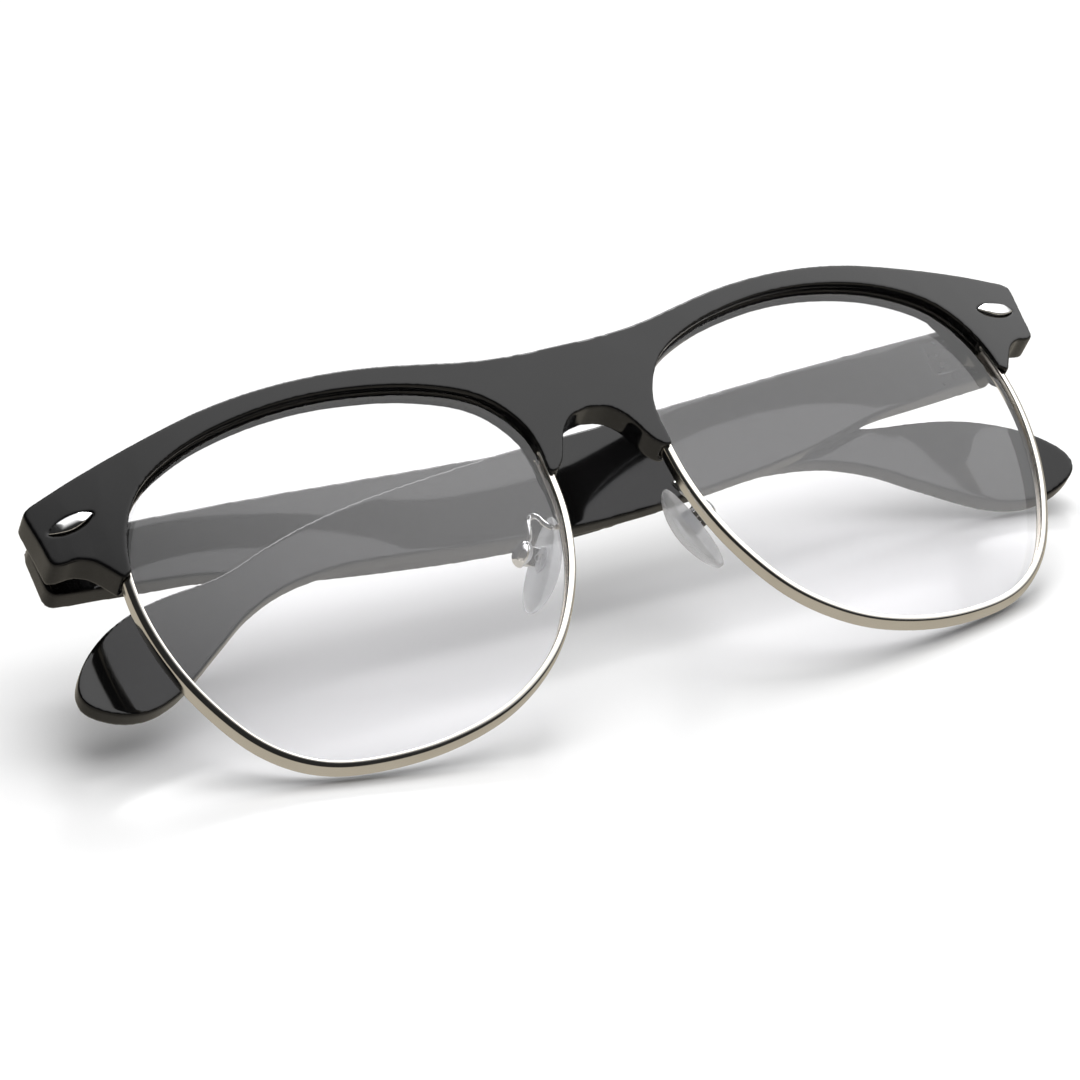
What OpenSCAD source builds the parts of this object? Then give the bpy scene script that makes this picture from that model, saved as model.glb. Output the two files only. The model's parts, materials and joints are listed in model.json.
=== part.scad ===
// Half rim eyeglasses, folded, lying on a table on their lower rims.
// The front is drawn in its own frame (x across, y up the front, z out of it),
// then tilted back as it lies. Z = 0 is the table top.

/* [Front] */
// Radius of the ball that the front face follows
front_radius = 224; // [200:1:260]
// Thickness of the plastic brow bar
brow_thickness = 4.6; // [4.2:0.1:5.2]
// Depth of the flat back of the end pieces, behind the middle of the front
end_depth = 17.5; // [17.2:0.1:18.5]

/* [Lenses and rims] */
// Thickness of each lens
lens_thickness = 1.4; // [1.2:0.1:1.6]
// Width of the metal rim, seen from the front
rim_width = 1.15; // [1:0.05:1.3]
// Depth of the metal rim, front to back
rim_depth = 2.4; // [2.3:0.1:2.8]
// How far the metal rim sits behind the brow's face
rim_setback = 0.8; // [0.7:0.05:0.9]

/* [Temples] */
// Distance of each hinge pin from the middle
pin_x = 68.6; // [68:0.1:69]
// Thickness of a temple at the hinge
temple_root = 3.6; // [3.2:0.1:3.8]
// Thickness of a temple's flat blade
temple_blade = 2.5; // [2.2:0.05:2.5]
// Thickness of a temple at its tip
temple_tip = 2.8; // [2.5:0.1:3.2]
// Lean of the folded temples, so that one lies over the other
fold_lean = 1.15; // [1.15:0.05:1.4]
// Droop of the left temple within its hinge's play, as it lies on the right one
fold_droop = 0.8; // [0:0.1:1]

/* [Rest] */
// Tilt of the front as it lies on the table
tilt = 35.8; // [33:0.1:38]

/* [Hidden] */

left = 1;
right = -1;
lens_steps = 4;       // straight pieces between two points of the lens curve
edge_steps = 8;       // the same along the brow's and the temples' edges
ball_facets = 180;
round_facets = 48;
reach = 80;           // longer than any cut needs

// Where the front stands on the table
rest_x = -0.135;
rest_y = -3.16;
rest_z = 27.145;

// Lens and groove
lens_front = rim_setback + (rim_depth - lens_thickness) / 2;
lens_back = lens_front + lens_thickness;
rim_back = rim_setback + rim_depth;
lens_lap = 0.5;       // how far the lens reaches under the rim and the brow
slack = 0.04;         // room between parts that are seated in each other
socket_top = 8;       // the rim's outer end stops here, inside the brow
socket_nose_top = 3;  // and its end at the nose here

// Visible edge of a lens, one point about every 8 mm, starting at the nose
lens_points = [[9.1, -1], [9.4, 6], [13.2, 12.3], [20, 16.2], [28, 18.6], [36, 19.8], [44, 19.7],
    [52, 18.2], [59, 14.6], [63, 8.2], [64.25, 0], [63.4, -8.6], [60.8, -16.8], [56.4, -24.5],
    [50.2, -29.4], [42, -31.4], [33.4, -31.4], [25, -29.2], [17.6, -24], [12.4, -16], [9.8, -8]];

// Upper edge of the brow, from the middle to the outer end
brow_top = [[0, 17.1], [7, 17.3], [13, 18.1], [19, 19.6], [25, 21.1], [32, 22.3], [40, 22.9],
    [48, 22.6], [57, 21.2], [66, 19.4], [72.2, 17.9]];
// Outer end, with its two small round corners, and the wavy edge below it
brow_end = [[72.2, 17.9], [73.2, 17.3], [73.4, 16.2], [73, 12], [72.8, 9.2], [72.3, 8.3], [71.2, 8]];
brow_wave = [[71.2, 8], [69.6, 7.9], [68, 6.9], [67, 5.6], [66.1, 4.2], [65.3, 3.1], [64.3, 3.5]];
// A line that runs inside the lens opening, which is cut out afterwards
brow_inside = [[60, 7], [44, 14], [28, 13], [16, 8], [11, 1], [9.3, -0.8]];
// The tip at the nose and the arch over it
brow_nose = [[9.3, -0.8], [8.5, -1.2], [7.6, -0.9], [6.6, 0.2], [5.9, 1.6], [5.2, 3.2], [4.3, 4.7],
    [2.6, 6.2], [0, 6.8]];

// Temple seen from its side: x from the butt end, y up the front
temple_side = [[0, 16.6], [0.4, 17.5], [1.5, 17.9], [14, 17.6], [32, 17], [46, 16.3], [62, 15.5], [76, 14.9], [88, 14],
    [98, 12.9], [106, 11.4], [113, 9.4], [118, 7.6], [122, 6.6], [127, 6], [132, 5], [136.5, 3.3],
    [140.5, 0.9], [144, -2.3], [146, -5.6], [145.5, -8.2], [142, -10.1], [137.5, -10.4], [133, -8.9],
    [129, -6.4], [124, -2.9], [118.5, 0.7], [112, 3.2], [104, 4.1], [95, 3.5], [84, 2.3], [72, 1.5],
    [60, 1.6], [48, 2.6], [36, 4], [28, 5.6],
    [21, 7.4], [14, 8.1], [7, 8.7], [1.6, 9.1], [0.4, 9.6], [0, 10.6]];

// Stud: two equal arcs that meet in points
stud_length = 6.4;
stud_width = 2.1;
stud_x = 68.6;
stud_y = 13.2;
stud_sunk = 0.8;
stud_rise = 0.55;

// Hinge
block_low = 8.6;      // lower side of the thick part of the end piece
pin_gap = 2.9;        // pin centre to the end piece's back
pin_z = -end_depth - pin_gap;
pin_radius = 0.7;
knuckle = 1.25;       // radius of the knuckles
knuckle_gap = 0.1;    // between a knuckle and the temple's inner face
face = knuckle + knuckle_gap;
butt = 2.5;           // pin centre to the temple's butt end
knuckle_low = 11.3;
knuckle_height = 1.5;
middle_height = 1.7;
play = 0.05;          // running clearance in the hinge
plate = 1;            // thickness of the plates let into the plastic
plate_low = 11.2;
plate_high = 16.2;
plate_length = 4.6;   // of the temple's plate
plate_start = 2;      // and how far from the pin it begins

// Nose pad, drawn with z toward the nose and y up
pad_place = [10.19, -8.77, -9.85];
pad_turn = [116.4, -56.6, -90.5];
pad_length = 13;
pad_width = 7;
pad_thickness = 2;
pad_shift = -0.7;     // the pad's middle is below its pin
pivot_z = -1.9;
pivot_radius = 0.36;
lug_half = 0.5;
box_back = 1.8;       // pin to the back of the box
button_radius = 1.75; // the round, domed end of the box
arm_radius = 0.42;
arm_sides = 12;
// Bends of the arm, from the rim's back to the box behind the pad
arm_route = [[9.9, -7.4, -3.58], [9.95, -6.8, -4.7], [10.1, -5.1, -6.1], [10.2, -3.5, -7.1],
    [10.7, -3, -7.7], [11.5, -4, -7.5], [11.95, -5.55, -7.72], [12.38, -6.34, -8.24]];
// A direction that the arm never runs along, to turn its rings from
arm_aside = [-5, 5, 7];

// One piece of a smooth curve through b and c, with a and d as its neighbours
function bend(a, b, c, d, t) =
    (2 * b + (c - a) * t + (2 * a - 5 * b + 4 * c - d) * t * t + (3 * b - a - 3 * c + d) * t * t * t) / 2;

// Smooth curve through all points of an open list, without its last point
function open_curve(p, steps) = [
    for (i = [0 : len(p) - 2], k = [0 : steps - 1])
        bend(p[max(i - 1, 0)], p[i], p[i + 1], p[min(i + 2, len(p) - 1)], k / steps)];

// Smooth closed curve
function loop_curve(p, steps) = [
    for (i = [0 : len(p) - 1], k = [0 : steps - 1])
        bend(p[(i + len(p) - 1) % len(p)], p[i], p[(i + 1) % len(p)], p[(i + 2) % len(p)], k / steps)];

// A clockwise closed outline, moved outward by d
function grown(p, d) = [
    for (i = [0 : len(p) - 1])
        let (along = p[(i + 1) % len(p)] - p[(i + len(p) - 1) % len(p)])
            p[i] + d * [-along[1], along[0]] / norm(along)];

lens_edge = loop_curve(lens_points, lens_steps);
half_brow = concat(
    open_curve(brow_top, edge_steps),
    open_curve(brow_end, edge_steps),
    open_curve(brow_wave, edge_steps),
    [brow_wave[len(brow_wave) - 1]],
    [for (i = [0 : len(brow_inside) - 2]) brow_inside[i]],
    open_curve(brow_nose, edge_steps),
    [brow_nose[len(brow_nose) - 1]]);
brow_outline = concat(
    half_brow,
    [for (i = [len(half_brow) - 2 : -1 : 1]) [-half_brow[i][0], half_brow[i][1]]]);

module rest() {
    translate([rest_x, rest_y, rest_z]) rotate([tilt, 0, 0]) children();
}

// Turns a piece drawn on the wearer's left (+x) into its twin on the right
module on(side) {
    rest() mirror([side == right ? 1 : 0, 0, 0]) children();
}

// The layer between two depths behind the ball-shaped front face
module layer(from, to) {
    translate([0, 0, -front_radius]) difference() {
        sphere(r = front_radius - from, $fn = ball_facets);
        sphere(r = front_radius - to, $fn = ball_facets);
    }
}

module column(outline) {
    translate([0, 0, -reach / 2]) linear_extrude(height = reach) polygon(outline);
}

module lens() {
    intersection() {
        column(grown(lens_edge, lens_lap));
        layer(lens_front, lens_back);
    }
}

// Groove that holds the lens, cut from the rim and the brow
module lens_groove() {
    intersection() {
        column(grown(lens_edge, lens_lap + slack));
        layer(lens_front - slack, lens_back + slack);
    }
}

// Keeps what lies below the brow, with the rim's two ends
module rim_zone(extra) {
    translate([0, -reach + socket_nose_top + extra, -reach / 2]) cube([36, reach, reach]);
    translate([35, -reach + socket_top + extra, -reach / 2]) cube([36, reach, reach]);
}

module rim_ring(extra, front, back) {
    intersection() {
        difference() {
            column(grown(lens_edge, rim_width + extra));
            column(lens_edge);
        }
        layer(front, back);
        rim_zone(extra);
    }
}

module eyewire() {
    difference() {
        rim_ring(0, rim_setback, rim_back);
        lens_groove();
    }
}

// Thick outer end of the brow, with its flat back for the hinge
module end_block() {
    rotate([90, 0, 0]) translate([0, 0, -reach]) linear_extrude(height = reach - block_low)
        polygon([[56, 0], [56, -9], [59.5, -13.6], [61.5, -14.8], [63, -16.4], [64.8, -end_depth],
            [80, -end_depth], [80, 0]]);
}

module brow_blank() {
    intersection() {
        column(brow_outline);
        translate([-reach, -reach / 2, -end_depth]) cube([2 * reach, reach, reach]);
        union() {
            layer(0, brow_thickness);
            intersection() {
                translate([0, 0, -front_radius]) sphere(r = front_radius, $fn = ball_facets);
                union() {
                    end_block();
                    mirror([1, 0, 0]) end_block();
                }
            }
        }
    }
}

// Everything that is cut from the brow on one side
module brow_cuts() {
    column(lens_edge);
    lens_groove();
    rim_ring(slack, rim_setback - slack, rim_back + slack);
    stud_seat() stud_shape(stud_sunk + slack, stud_rise, slack);
    hinge_plate(slack);
}

// Local z out of the front face at the stud
module stud_seat() {
    up = -asin(stud_y / front_radius);
    out = asin(stud_x / (front_radius * cos(up)));
    translate([0, 0, -front_radius]) rotate([up, out, 0]) translate([0, 0, front_radius]) children();
}

// Pointed oval prism from -sunk to +rise
module stud_shape(sunk, rise, extra) {
    half = stud_length / 2;
    bow = (half * half + pow(stud_width / 2, 2)) / stud_width;
    rotate([0, 0, -5]) translate([0, 0, -sunk]) linear_extrude(height = sunk + rise) intersection() {
        translate([0, bow - stud_width / 2]) circle(r = bow + extra, $fn = 96);
        translate([0, stud_width / 2 - bow]) circle(r = bow + extra, $fn = 96);
    }
}

// Stud, curved more steeply across than along
module stud() {
    dome = 10;
    crown = 2.3;
    stud_seat() intersection() {
        stud_shape(stud_sunk, stud_rise, 0);
        translate([0, 0, stud_rise + 0.05 - dome]) sphere(r = dome, $fn = ball_facets);
        rotate([0, 0, -5]) translate([0, 0, stud_rise - crown]) rotate([0, 90, 0])
            cylinder(r = crown, h = 2 * stud_length, center = true, $fn = 96);
    }
}

// Plate let into the end piece's back
module hinge_plate(extra) {
    translate([64.9 - extra, plate_low - extra, -end_depth - extra])
        cube([5.6 + 2 * extra, plate_high - plate_low + 2 * extra, plate + 2 * extra]);
}

module upright(radius, low, height) {
    translate([0, low, 0]) rotate([-90, 0, 0]) cylinder(r = radius, h = height, $fn = round_facets);
}

// One knuckle of the front hinge with the web that carries it
module front_knuckle(low) {
    upright(knuckle, low, knuckle_height);
    translate([-1.1, low, 0]) cube([2.2, knuckle_height, pin_gap + plate / 2]);
}

module front_hinge() {
    difference() {
        union() {
            hinge_plate(0);
            translate([pin_x, 0, pin_z]) {
                front_knuckle(knuckle_low);
                front_knuckle(plate_high - 0.1 - knuckle_height);
            }
        }
        translate([pin_x, 0, pin_z]) upright(pin_radius, knuckle_low - 1, 8);
    }
}

module hinge_screw() {
    top = plate_high - 0.1;
    head = 0.7;
    translate([pin_x, 0, pin_z]) difference() {
        union() {
            upright(pin_radius, knuckle_low, top - knuckle_low);
            upright(1.05, top, head);
        }
        translate([-2, top + head - 0.3, -0.15]) cube([4, 1, 0.3]);
    }
}

// Temple parts are drawn with x toward the tip, y up and z toward the front, at the pin.
// lean is positive where the tip leans toward the front, and droop where it hangs lower.
module fold(lean, droop) {
    hinge_middle = knuckle_low + knuckle_height + middle_height / 2;
    translate([pin_x, hinge_middle, pin_z]) mirror([1, 0, 0]) rotate([0, -lean, -droop])
        translate([0, -hinge_middle, 0]) children();
}

module temple_hinge_shape() {
    low = knuckle_low + knuckle_height + play;
    difference() {
        union() {
            upright(knuckle, low, middle_height - 2 * play);
            translate([0, low, -face - plate / 2]) cube([2.4, middle_height - 2 * play, face + plate / 2]);
            translate([plate_start, plate_low + 0.2, -face - plate])
                cube([plate_length, plate_high - plate_low - 0.2, plate]);
        }
        upright(pin_radius + play, low - 1, 4);
    }
}

// Temple seen from above: how far its inner face turns in, and its thickness
temple_turn = [[0, 0], [40, 0], [80, 0], [118, 0], [126, 0.15], [133, 0.7], [140, 1.7], [150, 3.8]];
temple_thick = [[0, temple_root], [9, temple_root], [17, temple_blade], [40, temple_blade],
    [80, temple_blade], [116, temple_blade], [130, temple_tip], [150, temple_tip]];

module temple_plan() {
    inner = open_curve(temple_turn, 3);
    outer = [for (p = inner) [p[0], p[1] - lookup(p[0], temple_thick)]];
    polygon(concat(inner, [for (i = [len(outer) - 1 : -1 : 0]) outer[i]]));
}

module temple_shape() {
    difference() {
        intersection() {
            translate([-butt, 0, -reach / 2]) linear_extrude(height = reach)
                polygon(concat(open_curve(temple_side, edge_steps), [temple_side[len(temple_side) - 1]]));
            translate([-butt, reach / 2, -face]) rotate([90, 0, 0]) linear_extrude(height = reach)
                temple_plan();
        }
        translate([plate_start - slack, plate_low + 0.2 - slack, -face - plate - slack])
            cube([plate_length + 2 * slack, plate_high - plate_low - 0.2 + 2 * slack, plate + 1]);
        translate([-slack, knuckle_low + knuckle_height, -face - plate / 2 - slack])
            cube([3, middle_height, plate]);
    }
}

module at_pad() {
    translate(pad_place) rotate(pad_turn) children();
}

// Drop shape: wider at its lower end
function drop(length, width) = [
    for (a = [0 : 12 : 348])
        [width / 2 * cos(a) * (1 - 0.22 * sin(a)), length / 2 * sin(a)]];

module nose_pad_shape() {
    soft = 15;
    difference() {
        translate([0, pad_shift, 0]) intersection() {
            translate([0, 0, -pad_thickness / 2]) linear_extrude(height = pad_thickness)
                polygon(drop(pad_length, pad_width));
            translate([0, 0, pad_thickness / 2 - soft]) sphere(r = soft, $fn = 96);
        }
        translate([0, 0, -pad_thickness]) cylinder(r = 1.6 + slack, h = 1.7 + slack, $fn = round_facets);
    }
}

module pad_core_shape() {
    difference() {
        union() {
            translate([0, 0, -pad_thickness / 2]) cylinder(r = 1.6, h = 0.7, $fn = round_facets);
            translate([-lug_half, -0.8, pivot_z]) cube([2 * lug_half, 1.6, -pivot_z - pad_thickness / 2 + 0.3]);
            translate([-lug_half, 0, pivot_z]) rotate([0, 90, 0])
                cylinder(r = 0.8, h = 2 * lug_half, $fn = round_facets);
        }
        translate([-2, 0, pivot_z]) rotate([0, 90, 0])
            cylinder(r = pivot_radius + play, h = 4, $fn = round_facets);
    }
}

// U-shaped box with a domed round end
module pad_box_shape() {
    inside = lug_half + 0.1;
    outside = inside + 0.55;
    back = pivot_z - box_back;
    dome = 4;
    rise = 0.6;
    difference() {
        union() {
            translate([-outside, -1.3, back]) cube([2 * outside, 2.6, box_back + 0.55]);
            intersection() {
                translate([0, 0, back - rise]) cylinder(r = button_radius, h = rise + 0.2, $fn = round_facets);
                translate([0, 0, back - rise + dome]) sphere(r = dome, $fn = 96);
            }
        }
        translate([-inside, -2, pivot_z - 0.9]) cube([2 * inside, 4, 4]);
        translate([-2, 0, pivot_z]) rotate([0, 90, 0])
            cylinder(r = pivot_radius, h = 4, $fn = round_facets);
    }
}

module pad_screw_shape() {
    half = lug_half + 0.65;
    translate([-half, 0, pivot_z]) rotate([0, 90, 0]) {
        cylinder(r = pivot_radius, h = 2 * half, $fn = round_facets);
        translate([0, 0, -0.35]) cylinder(r = 0.65, h = 0.35, $fn = round_facets);
    }
}

// Ring of a round wire around point p, square to the direction along
function ring(p, along, radius, sides) =
    let (
        across = cross(along, arm_aside) / norm(cross(along, arm_aside)),
        over = cross(across, along) / norm(along))
    [for (k = [0 : sides - 1]) p + radius * (across * cos(360 * k / sides) + over * sin(360 * k / sides))];

module wire(route, radius, sides) {
    path = concat(open_curve(route, edge_steps), [route[len(route) - 1]]);
    last = len(path) - 1;
    points = [for (i = [0 : last])
        each ring(path[i], path[min(i + 1, last)] - path[max(i - 1, 0)], radius, sides)];
    polyhedron(points, concat(
        [[for (k = [0 : sides - 1]) k]],
        [for (i = [0 : last - 1], k = [0 : sides - 1])
            let (next = (k + 1) % sides)
                [i * sides + k, (i + 1) * sides + k, (i + 1) * sides + next, i * sides + next]],
        [[for (k = [sides - 1 : -1 : 0]) last * sides + k]]));
}

module pad_arm_shape() {
    wire(arm_route, arm_radius, arm_sides);
}

module brow_front() {
    color("#141416") rest() difference() {
        brow_blank();
        brow_cuts();
        mirror([1, 0, 0]) brow_cuts();
    }
}

module left_lens() { color("#eef2f4", 0.35) on(left) lens(); }
module right_lens() { color("#eef2f4", 0.35) on(right) lens(); }

module left_eyewire() { color("#d9d5cb") on(left) eyewire(); }
module right_eyewire() { color("#d9d5cb") on(right) eyewire(); }

module left_stud() { color("silver") on(left) stud(); }
module right_stud() { color("silver") on(right) stud(); }

module left_pad_arm() { color("silver") on(left) pad_arm_shape(); }
module right_pad_arm() { color("silver") on(right) pad_arm_shape(); }

module left_pad_box() { color("silver") on(left) at_pad() pad_box_shape(); }
module right_pad_box() { color("silver") on(right) at_pad() pad_box_shape(); }

module left_pad_core() { color("lightgray") on(left) at_pad() pad_core_shape(); }
module right_pad_core() { color("lightgray") on(right) at_pad() pad_core_shape(); }

module left_pad_screw() { color("silver") on(left) at_pad() pad_screw_shape(); }
module right_pad_screw() { color("silver") on(right) at_pad() pad_screw_shape(); }

module left_nose_pad() { color("#f4f6f8", 0.5) on(left) at_pad() nose_pad_shape(); }
module right_nose_pad() { color("#f4f6f8", 0.5) on(right) at_pad() nose_pad_shape(); }

module left_front_hinge() { color("silver") on(left) front_hinge(); }
module right_front_hinge() { color("silver") on(right) front_hinge(); }

module left_hinge_screw() { color("silver") on(left) hinge_screw(); }
module right_hinge_screw() { color("silver") on(right) hinge_screw(); }

// The left temple is folded first, so its tip leans toward the front
module left_temple_hinge() { color("silver") on(left) fold(fold_lean, fold_droop) temple_hinge_shape(); }
module right_temple_hinge() { color("silver") on(right) fold(-fold_lean, 0) temple_hinge_shape(); }

module left_temple() { color("#141416") on(left) fold(fold_lean, fold_droop) temple_shape(); }
module right_temple() { color("#141416") on(right) fold(-fold_lean, 0) temple_shape(); }

brow_front();
left_lens();
right_lens();
left_eyewire();
right_eyewire();
left_stud();
right_stud();
left_pad_arm();
right_pad_arm();
left_pad_box();
right_pad_box();
left_pad_core();
right_pad_core();
left_pad_screw();
right_pad_screw();
left_nose_pad();
right_nose_pad();
left_front_hinge();
right_front_hinge();
left_hinge_screw();
right_hinge_screw();
left_temple_hinge();
right_temple_hinge();
left_temple();
right_temple();
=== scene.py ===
"""Half rim eyeglasses, folded on a white table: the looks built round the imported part."""

import json
import math

import bmesh
import bpy
import numpy as np
from mathutils import Matrix, Vector

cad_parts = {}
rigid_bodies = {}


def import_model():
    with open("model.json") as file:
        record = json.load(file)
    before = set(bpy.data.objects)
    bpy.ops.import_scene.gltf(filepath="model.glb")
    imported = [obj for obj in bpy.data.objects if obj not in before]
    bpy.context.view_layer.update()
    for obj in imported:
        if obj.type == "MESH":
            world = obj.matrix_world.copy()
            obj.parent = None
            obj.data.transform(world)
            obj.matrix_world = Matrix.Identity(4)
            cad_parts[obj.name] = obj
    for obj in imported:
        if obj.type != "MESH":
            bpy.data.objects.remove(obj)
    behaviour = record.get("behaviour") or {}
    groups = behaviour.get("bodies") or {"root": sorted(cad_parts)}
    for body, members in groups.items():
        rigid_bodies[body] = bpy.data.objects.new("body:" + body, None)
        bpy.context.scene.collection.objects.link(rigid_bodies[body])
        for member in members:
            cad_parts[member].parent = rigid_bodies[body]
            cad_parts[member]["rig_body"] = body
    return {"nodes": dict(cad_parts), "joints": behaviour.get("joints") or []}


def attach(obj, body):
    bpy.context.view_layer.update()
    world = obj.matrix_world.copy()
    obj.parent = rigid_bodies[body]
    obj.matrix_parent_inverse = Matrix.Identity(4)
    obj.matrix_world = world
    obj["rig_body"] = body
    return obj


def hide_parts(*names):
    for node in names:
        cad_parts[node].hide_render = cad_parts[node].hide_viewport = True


MM = 0.001
WELD = 0.001 * MM  # vertices closer than this are one

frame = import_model()
bpy.context.view_layer.update()
scene = bpy.context.scene
nodes = frame["nodes"]

# ---------------------------------------------------------------- the front's own axes
# across is the wearer's left, up runs up the front and out points out of its face
hinge = next(j for j in frame["joints"] if j["name"] == "right_temple_hinge_turn")
across = Vector((1, 0, 0))
up = Vector(hinge["axis"]).normalized()
out = across.cross(up)
front_turn = Matrix((across, up, out)).transposed()

PIN = Vector((-68.6, 13.65, -20.4)) * MM  # middle of the right hinge pin, in these axes
front_origin = np.array(Vector(hinge["pos_m"]) - front_turn @ PIN)

FRONT_RADIUS = 224 * MM  # of the ball that the front face follows
LENS_LAP = 0.5 * MM  # the lens's edge lies this far inside the rim
RIM_WIDTH = 1.15 * MM
RIM_FRONT = 0.8 * MM
RIM_DEPTH = 2.4 * MM
GROOVE = 1.48 * MM  # width of the groove that holds the lens
GROOVE_PLAY = 0.04 * MM  # the groove is this much deeper than the lens reaches
LENS_SHINE = 0.045  # share of the light that one lens face turns back, seen square on


# ---------------------------------------------------------------- materials
class Nodes:
    """A material's node tree, with short calls to add to it."""

    def __init__(self, name):
        self.material = bpy.data.materials.new(name)
        self.material.use_nodes = True
        self.tree = self.material.node_tree
        self.shader = self.tree.nodes["Principled BSDF"]
        self.output = self.tree.nodes["Material Output"]

    def add(self, kind, **values):
        node = self.tree.nodes.new(kind)
        for key, value in values.items():
            if hasattr(node, key):
                setattr(node, key, value)
            else:
                node.inputs[key.replace("_", " ")].default_value = value
        return node

    def link(self, source, target):
        self.tree.links.new(source, target)

    def set(self, **values):
        for key, value in values.items():
            self.shader.inputs[key.replace("_", " ")].default_value = value

    def position(self):
        return self.add("ShaderNodeTexCoord").outputs["Object"]

    def noise(self, scale, detail=3.0):
        node = self.add("ShaderNodeTexNoise", Scale=scale, Detail=detail)
        self.link(self.position(), node.inputs["Vector"])
        return node.outputs["Fac"]

    def ramp(self, source, stops):
        node = self.add("ShaderNodeValToRGB")
        elements = node.color_ramp.elements
        while len(elements) < len(stops):
            elements.new(0.5)
        for element, (place, colour) in zip(elements, stops):
            element.position = place
            element.color = (*colour, 1)
        self.link(source, node.inputs["Fac"])
        return node.outputs["Color"]

    def spread(self, source, low, high, start=0.3, end=0.7):
        node = self.add("ShaderNodeMapRange")
        values = {"From Min": start, "From Max": end, "To Min": low, "To Max": high}
        for key, value in values.items():
            node.inputs[key].default_value = value
        self.link(source, node.inputs["Value"])
        return node.outputs["Result"]

    def bump(self, source, distance, strength=1.0):
        node = self.add("ShaderNodeBump", Strength=strength, Distance=distance)
        self.link(source, node.inputs["Height"])
        self.link(node.outputs["Normal"], self.shader.inputs["Normal"])

    def let_lamps_through(self, tint, share):
        """Clear plastic lets a share of the view straight through, and throws only a faint shadow."""
        path = self.add("ShaderNodeLightPath")
        through = self.add("ShaderNodeMath", operation="MAXIMUM")
        through.inputs[1].default_value = share
        open_shader = self.add("ShaderNodeBsdfTransparent", Color=(*tint, 1))
        mix = self.add("ShaderNodeMixShader")
        self.link(path.outputs["Is Shadow Ray"], through.inputs[0])
        self.link(through.outputs[0], mix.inputs[0])
        self.link(self.shader.outputs["BSDF"], mix.inputs[1])
        self.link(open_shader.outputs["BSDF"], mix.inputs[2])
        self.link(mix.outputs["Shader"], self.output.inputs["Surface"])


def black_plastic():
    """Polished black acetate: an even gloss with a trace of waviness and a few duller wipes."""
    m = Nodes("black_acetate")
    m.set(IOR=1.5, Specular_IOR_Level=0.38)
    deep, worn = (0.0035, 0.0034, 0.0036), (0.007, 0.0068, 0.0072)
    tone = m.ramp(m.noise(90), [(0.35, deep), (0.7, worn)])
    m.link(tone, m.shader.inputs["Base Color"])
    m.link(m.spread(m.noise(160, 6), 0.05, 0.09), m.shader.inputs["Roughness"])
    m.bump(m.noise(260, 2), 0.006 * MM, 0.5)
    return m.material


def metal(name, bright, dull, low, high, scale):
    """Plated metal whose tone and polish vary a little."""
    m = Nodes(name)
    m.set(Metallic=1.0)
    m.link(m.ramp(m.noise(scale), [(0.3, dull), (0.7, bright)]), m.shader.inputs["Base Color"])
    m.link(m.spread(m.noise(3 * scale, 5), low, high), m.shader.inputs["Roughness"])
    m.bump(m.noise(2 * scale, 4), 0.004 * MM, 0.5)
    return m.material


def clear_lens():
    """Clear plastic too thin to bend the view, which shines more when seen edge on."""
    m = Nodes("clear_lens_plastic")
    clear = m.add("ShaderNodeBsdfTransparent", Color=(0.985, 0.983, 0.99, 1))
    gloss = m.add("ShaderNodeBsdfGlossy", Color=(1, 1, 1, 1))
    m.link(m.spread(m.noise(60, 4), 0.0, 0.02), gloss.inputs["Roughness"])
    facing = m.add("ShaderNodeLayerWeight", Blend=0.5)
    steep = m.add("ShaderNodeMath", operation="POWER")
    steep.inputs[1].default_value = 5
    m.link(facing.outputs["Facing"], steep.inputs[0])
    share = m.spread(steep.outputs[0], LENS_SHINE, 1, 0, 1)
    mix = m.add("ShaderNodeMixShader")
    m.link(share, mix.inputs[0])
    m.link(clear.outputs["BSDF"], mix.inputs[1])
    m.link(gloss.outputs["BSDF"], mix.inputs[2])
    m.link(mix.outputs["Shader"], m.output.inputs["Surface"])
    m.tree.nodes.remove(m.shader)
    return m.material


def clear_pad():
    """Milky clear silicone."""
    m = Nodes("clear_silicone")
    m.set(IOR=1.42, Transmission_Weight=0.5)
    milk = m.ramp(m.noise(220), [(0.3, (0.86, 0.87, 0.88)), (0.7, (0.95, 0.955, 0.96))])
    m.link(milk, m.shader.inputs["Base Color"])
    m.link(m.spread(m.noise(400, 4), 0.12, 0.24), m.shader.inputs["Roughness"])
    m.bump(m.noise(500, 3), 0.01 * MM, 0.6)
    m.let_lamps_through((0.93, 0.93, 0.94), 0.4)
    return m.material


acetate = black_plastic()
rim_plating = metal("warm_rim_plating", (0.93, 0.9, 0.85), (0.86, 0.83, 0.77), 0.1, 0.17, 120)
silver = metal("bright_silver", (0.95, 0.95, 0.95), (0.87, 0.87, 0.88), 0.06, 0.14, 200)
hinge_metal = metal("hinge_nickel", (0.8, 0.79, 0.77), (0.62, 0.61, 0.6), 0.18, 0.32, 300)
dark_nickel = metal("dark_nickel", (0.045, 0.044, 0.046), (0.03, 0.03, 0.032), 0.2, 0.3, 300)
hinge_plating = {
    "_front_hinge": hinge_metal,
    "_hinge_screw": hinge_metal,
    "_temple_hinge": dark_nickel,
}
lens_plastic = clear_lens()
silicone = clear_pad()


# ---------------------------------------------------------------- shapes
def finish_piece(piece, node, material):
    """The piece takes its CAD node's place and body, and wears the material given."""
    piece.data.materials.clear()
    piece.data.materials.append(material)
    piece.data.polygons.foreach_set("use_smooth", [True] * len(piece.data.polygons))
    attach(piece, nodes[node]["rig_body"])
    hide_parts(node)
    return piece


def baked(piece):
    """The piece's mesh with its modifiers applied."""
    depsgraph = bpy.context.evaluated_depsgraph_get()
    mesh = bpy.data.meshes.new_from_object(piece.evaluated_get(depsgraph))
    piece.modifiers.clear()
    piece.data = mesh


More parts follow.
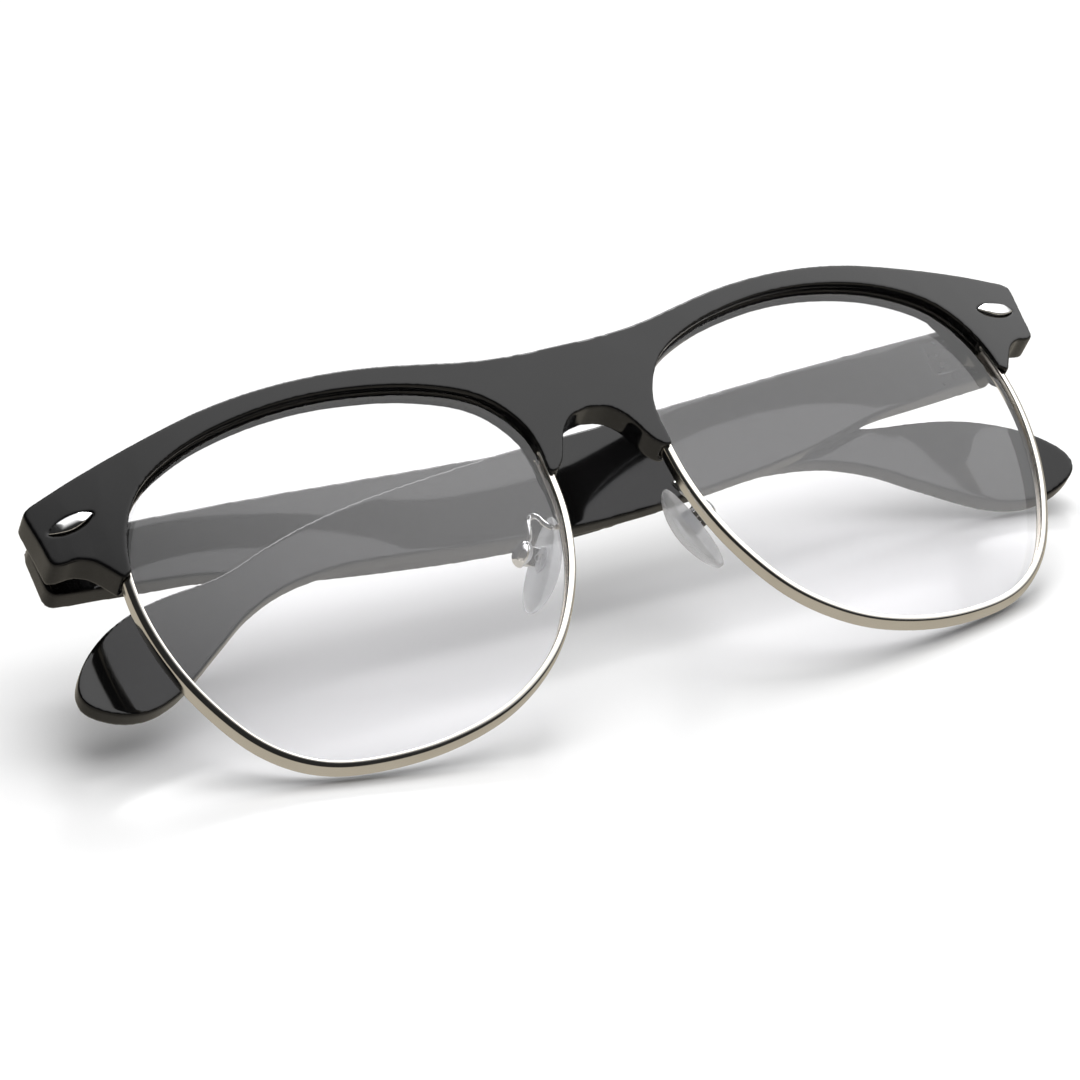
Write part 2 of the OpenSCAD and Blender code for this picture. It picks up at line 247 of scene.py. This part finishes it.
def softened(node, name, grid, passes, faces, material, dome=None):
    """A copy of a CAD node with polished, rounded edges, and with a dome if one is given."""
    bm = bmesh.new()
    bm.from_mesh(nodes[node].data)
    bmesh.ops.remove_doubles(bm, verts=bm.verts, dist=WELD)
    if dome:
        bmesh.ops.create_uvsphere(bm, u_segments=48, v_segments=24, radius=1, matrix=dome)
    mesh = bpy.data.meshes.new(name)
    bm.to_mesh(mesh)
    bm.free()
    piece = bpy.data.objects.new(name, mesh)
    scene.collection.objects.link(piece)
    remesh = piece.modifiers.new("remesh", "REMESH")
    remesh.mode = "VOXEL"
    remesh.voxel_size = grid
    smooth = piece.modifiers.new("smooth", "SMOOTH")
    smooth.factor = 0.5
    smooth.iterations = passes
    baked(piece)
    if len(piece.data.polygons) * 2 > faces:
        thin = piece.modifiers.new("thin", "DECIMATE")
        thin.ratio = faces / (len(piece.data.polygons) * 2)
        baked(piece)
    return finish_piece(piece, node, material)


def corners(node):
    """A CAD node's vertices, one row each."""
    co = np.empty(3 * len(nodes[node].data.vertices))
    nodes[node].data.vertices.foreach_get("co", co)
    return co.reshape(-1, 3)


def box_dome(side):
    """Place and size of the round, domed end that the pad's box shows to the back."""
    core, box = corners(side + "_pad_core"), corners(side + "_pad_box")
    start = Vector((core.min(0) + core.max(0)) / 2)
    away = Vector((box.min(0) + box.max(0)) / 2) - start
    away.normalize()
    back = max((Vector(p) - start).dot(away) for p in box)
    turn = away.to_track_quat("Z", "Y").to_matrix().to_4x4()
    centre = Matrix.Translation(start + away * (back - DOME_SUNK))
    return centre @ turn @ Matrix.Diagonal((*DOME_SIZE, 1))


def front_points(node):
    """A CAD node's vertices in the front's axes."""
    return (corners(node) - front_origin) @ np.array(front_turn)


def ball_height(x, y, depth):
    """How high the layer at this depth stands over the middle of the front."""
    return np.sqrt((FRONT_RADIUS - depth) ** 2 - x * x - y * y) - FRONT_RADIUS


def to_world(points):
    return points @ np.array(front_turn).T + front_origin


def lens_outline(side):
    """The lens's front outline, evenly spaced and smoothed, as x and y in the front's axes."""
    bm = bmesh.new()
    bm.from_mesh(nodes[side + "_lens"].data)
    bmesh.ops.remove_doubles(bm, verts=bm.verts, dist=WELD)
    facing = {f: f.normal.dot(out) > 0.7 for f in bm.faces}
    chain = {}
    for edge in bm.edges:
        if sum(facing[f] for f in edge.link_faces) == 1:
            for a, b in (edge.verts, reversed(edge.verts)):
                chain.setdefault(a, []).append(b)
    start = next(iter(chain))
    loop, before = [start], None
    while True:
        following = next(v for v in chain[loop[-1]] if v is not before)
        if following is start:
            break
        before = loop[-1]
        loop.append(following)
    points = (np.array([v.co for v in loop]) - front_origin) @ np.array(front_turn)
    bm.free()
    points = points[:, :2]
    ahead = np.roll(points, -1, 0)
    if np.sum(points[:, 0] * ahead[:, 1] - points[:, 1] * ahead[:, 0]) > 0:
        points = points[::-1]
    closed = np.vstack([points, points[:1]])
    length = np.concatenate([[0], np.cumsum(np.linalg.norm(np.diff(closed, axis=0), axis=1))])
    even = np.linspace(0, length[-1], OUTLINE_POINTS, endpoint=False)
    points = np.stack([np.interp(even, length, closed[:, k]) for k in (0, 1)], 1)
    for _ in range(OUTLINE_SMOOTHING):
        points = (np.roll(points, 1, 0) + 2 * points + np.roll(points, -1, 0)) / 4
    return points


def outward(points):
    along = np.roll(points, -1, 0) - np.roll(points, 1, 0)
    side = np.stack([-along[:, 1], along[:, 0]], 1)
    return side / np.linalg.norm(side, axis=1)[:, None]


def rim_section():
    """The rim's rounded, grooved cross-section: x away from the lens, y the depth."""
    groove_side = (RIM_DEPTH - GROOVE) / 2
    inner = LENS_LAP + GROOVE_PLAY
    shape = [
        (0, 0, 0.22 * MM),
        (RIM_WIDTH, 0, 0.8 * MM),
        (RIM_WIDTH, RIM_DEPTH, 0.75 * MM),
        (0, RIM_DEPTH, 0.12 * MM),
        (0, RIM_DEPTH - groove_side, 0.05 * MM),
        (inner, RIM_DEPTH - groove_side, 0.05 * MM),
        (inner, groove_side, 0.05 * MM),
        (0, groove_side, 0.05 * MM),
    ]
    section = []
    for i, (x, y, radius) in enumerate(shape):
        here = Vector((x, y))
        before = (Vector(shape[i - 1][:2]) - here).normalized()
        after = (Vector(shape[(i + 1) % len(shape)][:2]) - here).normalized()
        start, end = here + before * radius, here + after * radius
        for t in np.linspace(0, 1, CORNER_POINTS):
            section.append(start.lerp(here, t).lerp(here.lerp(end, t), t))
    return section


def make_rim(side):
    """The metal lower rim, swept along the lens's edge between its two sockets in the brow."""
    node = side + "_eyewire"
    sign = 1 if side == "left" else -1
    points = lens_outline(side)
    points = points - outward(points) * LENS_LAP
    cad = front_points(node)
    nose_half = np.abs(cad[:, 0]) < RIM_MIDDLE
    tops = [cad[half, 1].max() for half in (nose_half, ~nose_half)]
    limit = np.where(np.abs(points[:, 0]) < RIM_MIDDLE, *tops)
    kept = points[:, 1] < limit - RIM_SHORT
    first = next(i for i in range(len(kept)) if kept[i] and not kept[i - 1])
    order = [(first + k) % len(kept) for k in range(int(kept.sum()))]
    normals = outward(points)
    section = rim_section()
    bm = bmesh.new()
    rings = []
    for i in order:
        ring = []
        for x, y in section:
            place = points[i] + normals[i] * x
            height = ball_height(place[0], place[1], RIM_FRONT + y)
            ring.append(bm.verts.new(to_world(np.array([place[0], place[1], height]))))
        rings.append(ring)
    for a, b in zip(rings, rings[1:]):
        for k in range(len(section)):
            following = (k + 1) % len(section)
            bm.faces.new((a[k], a[following], b[following], b[k]))
    bm.faces.new(rings[0][::-1])
    bm.faces.new(rings[-1])
    bmesh.ops.recalc_face_normals(bm, faces=bm.faces)
    mesh = bpy.data.meshes.new(side + "_rim")
    bm.to_mesh(mesh)
    bm.free()
    piece = bpy.data.objects.new(side + "_rim", mesh)
    scene.collection.objects.link(piece)
    return finish_piece(piece, node, rim_plating)


OUTLINE_POINTS = 420
OUTLINE_SMOOTHING = 12  # passes that even out the outline's facets
CORNER_POINTS = 6  # along each rounded corner of the rim's section
RIM_MIDDLE = 36 * MM  # the rim's inner end lies nearer the nose than this, its outer end farther
RIM_SHORT = 0.2 * MM  # the swept rim stops this far below the tops of the CAD rim's ends
DOME_SIZE = (1.85 * MM, 1.85 * MM, 1.2 * MM)  # half of its width, height and depth
DOME_SUNK = 0.7 * MM  # its middle lies this far inside the box's back

softened("brow_front", "brow_bar", 0.15 * MM, 30, 110000, acetate)
for side in ("left", "right"):
    softened(side + "_temple", side + "_temple_blade", 0.18 * MM, 32, 50000, acetate)
    make_rim(side)
    softened(side + "_nose_pad", side + "_pad_moulding", 0.13 * MM, 8, 9000, silicone)
    softened(side + "_pad_arm", side + "_pad_wire", 0.09 * MM, 4, 6000, silver)
    dome = box_dome(side)
    softened(side + "_pad_box", side + "_pad_clip", 0.07 * MM, 3, 9000, silver, dome)
    softened(side + "_stud", side + "_oval_stud", 0.07 * MM, 30, 6000, silver)
    nodes[side + "_lens"].data.materials[0] = lens_plastic
    nodes[side + "_pad_core"].data.materials[0] = silicone
    nodes[side + "_pad_screw"].data.materials[0] = silver
    for hinged, plating in hinge_plating.items():
        nodes[side + hinged].data.materials[0] = plating


# ---------------------------------------------------------------- table, light and camera
def make_floor():
    m = Nodes("white_table")
    m.set(IOR=1.45, Specular_IOR_Level=0.5)
    white = m.ramp(m.noise(4), [(0.3, (0.93, 0.93, 0.93)), (0.7, (0.95, 0.95, 0.95))])
    m.link(white, m.shader.inputs["Base Color"])
    m.link(m.spread(m.noise(7), 0.14, 0.2), m.shader.inputs["Roughness"])
    bpy.ops.mesh.primitive_grid_add(x_subdivisions=20, y_subdivisions=20, size=FLOOR_SIZE)
    floor = bpy.context.object
    floor.name = "table"
    floor.data.materials.append(m.material)
    floor.visible_glossy = False


def make_sky():
    """A broad white light overhead, toward one side, that fades into a dim room."""
    world = bpy.data.worlds.new("studio")
    scene.world = world
    world.use_nodes = True
    tree = world.node_tree
    place = tree.nodes.new("ShaderNodeTexCoord")
    toward = tree.nodes.new("ShaderNodeVectorMath")
    toward.operation = "DOT_PRODUCT"
    toward.inputs[1].default_value = Vector(SKY_TOWARD).normalized()
    light = tree.nodes.new("ShaderNodeMapRange")
    light.interpolation_type = "SMOOTHSTEP"
    light.inputs["From Min"].default_value = SKY_FADE[0]
    light.inputs["From Max"].default_value = SKY_FADE[1]
    light.inputs["To Min"].default_value = ROOM_LIGHT
    light.inputs["To Max"].default_value = SKY_LIGHT
    split = tree.nodes.new("ShaderNodeSeparateXYZ")
    above = tree.nodes.new("ShaderNodeMapRange")
    above.inputs["From Min"].default_value = -HORIZON_BLUR
    above.inputs["From Max"].default_value = HORIZON_BLUR
    colour = tree.nodes.new("ShaderNodeMix")
    colour.data_type = "RGBA"
    colour.inputs["A"].default_value = (*BELOW, 1)
    shine = tree.nodes.new("ShaderNodeCombineColor")
    tree.links.new(place.outputs["Generated"], toward.inputs[0])
    tree.links.new(place.outputs["Generated"], split.inputs[0])
    tree.links.new(toward.outputs["Value"], light.inputs["Value"])
    tree.links.new(split.outputs["Z"], above.inputs["Value"])
    for channel in ("Red", "Green", "Blue"):
        tree.links.new(light.outputs["Result"], shine.inputs[channel])
    tree.links.new(above.outputs["Result"], colour.inputs["Factor"])
    tree.links.new(shine.outputs["Color"], colour.inputs["B"])
    tree.links.new(colour.outputs["Result"], tree.nodes["Background"].inputs["Color"])


def make_lamp(name, place, size, power):
    lamp = bpy.data.lights.new(name, "AREA")
    lamp.size = size
    lamp.energy = power
    holder = bpy.data.objects.new(name, lamp)
    scene.collection.objects.link(holder)
    holder.location = place
    holder.rotation_euler = (-Vector(place)).to_track_quat("-Z", "Y").to_euler()


def make_camera():
    azimuth, elevation = math.radians(CAMERA_AZIMUTH), math.radians(CAMERA_ELEVATION)
    level = math.cos(elevation)
    back = Vector((-math.sin(azimuth) * level, -math.cos(azimuth) * level, math.sin(elevation)))
    camera = bpy.data.cameras.new("camera")
    camera.lens = CAMERA_LENS
    camera.sensor_width = 36
    camera.clip_start, camera.clip_end = 0.05, 20
    holder = bpy.data.objects.new("camera", camera)
    scene.collection.objects.link(holder)
    holder.location = Vector(CAMERA_AIM) + back * CAMERA_DISTANCE
    turn = (-back).to_track_quat("-Z", "Y").to_matrix()
    turn = turn @ Matrix.Rotation(math.radians(CAMERA_ROLL), 3, "Z")
    holder.rotation_euler = turn.to_euler()
    scene.camera = holder


FLOOR_SIZE = 8
SKY_TOWARD = (0.5, 0.15, 0.85)
SKY_FADE = (0.5, 0.95)
ROOM_LIGHT = 0.02
SKY_LIGHT = 2.2
BELOW = (0.45, 0.415, 0.35)  # what polished sides that look down mirror
HORIZON_BLUR = 0.05
KEY_PLACE = (0.35, 0.75, 0.9)
KEY_SIZE = 0.7
KEY_POWER = 7
CAMERA_AIM = (-0.0120, -0.0061, 0.0181)
CAMERA_AZIMUTH = 26.0
CAMERA_ELEVATION = 24.7
CAMERA_DISTANCE = 0.75
CAMERA_ROLL = -2.03
CAMERA_LENS = 193.33

make_floor()
make_sky()
make_lamp("key", KEY_PLACE, KEY_SIZE, KEY_POWER)
make_camera()
scene.view_settings.view_transform = "Standard"
scene.cycles.caustics_reflective = False
scene.cycles.caustics_refractive = False

bpy.context.view_layer.update()
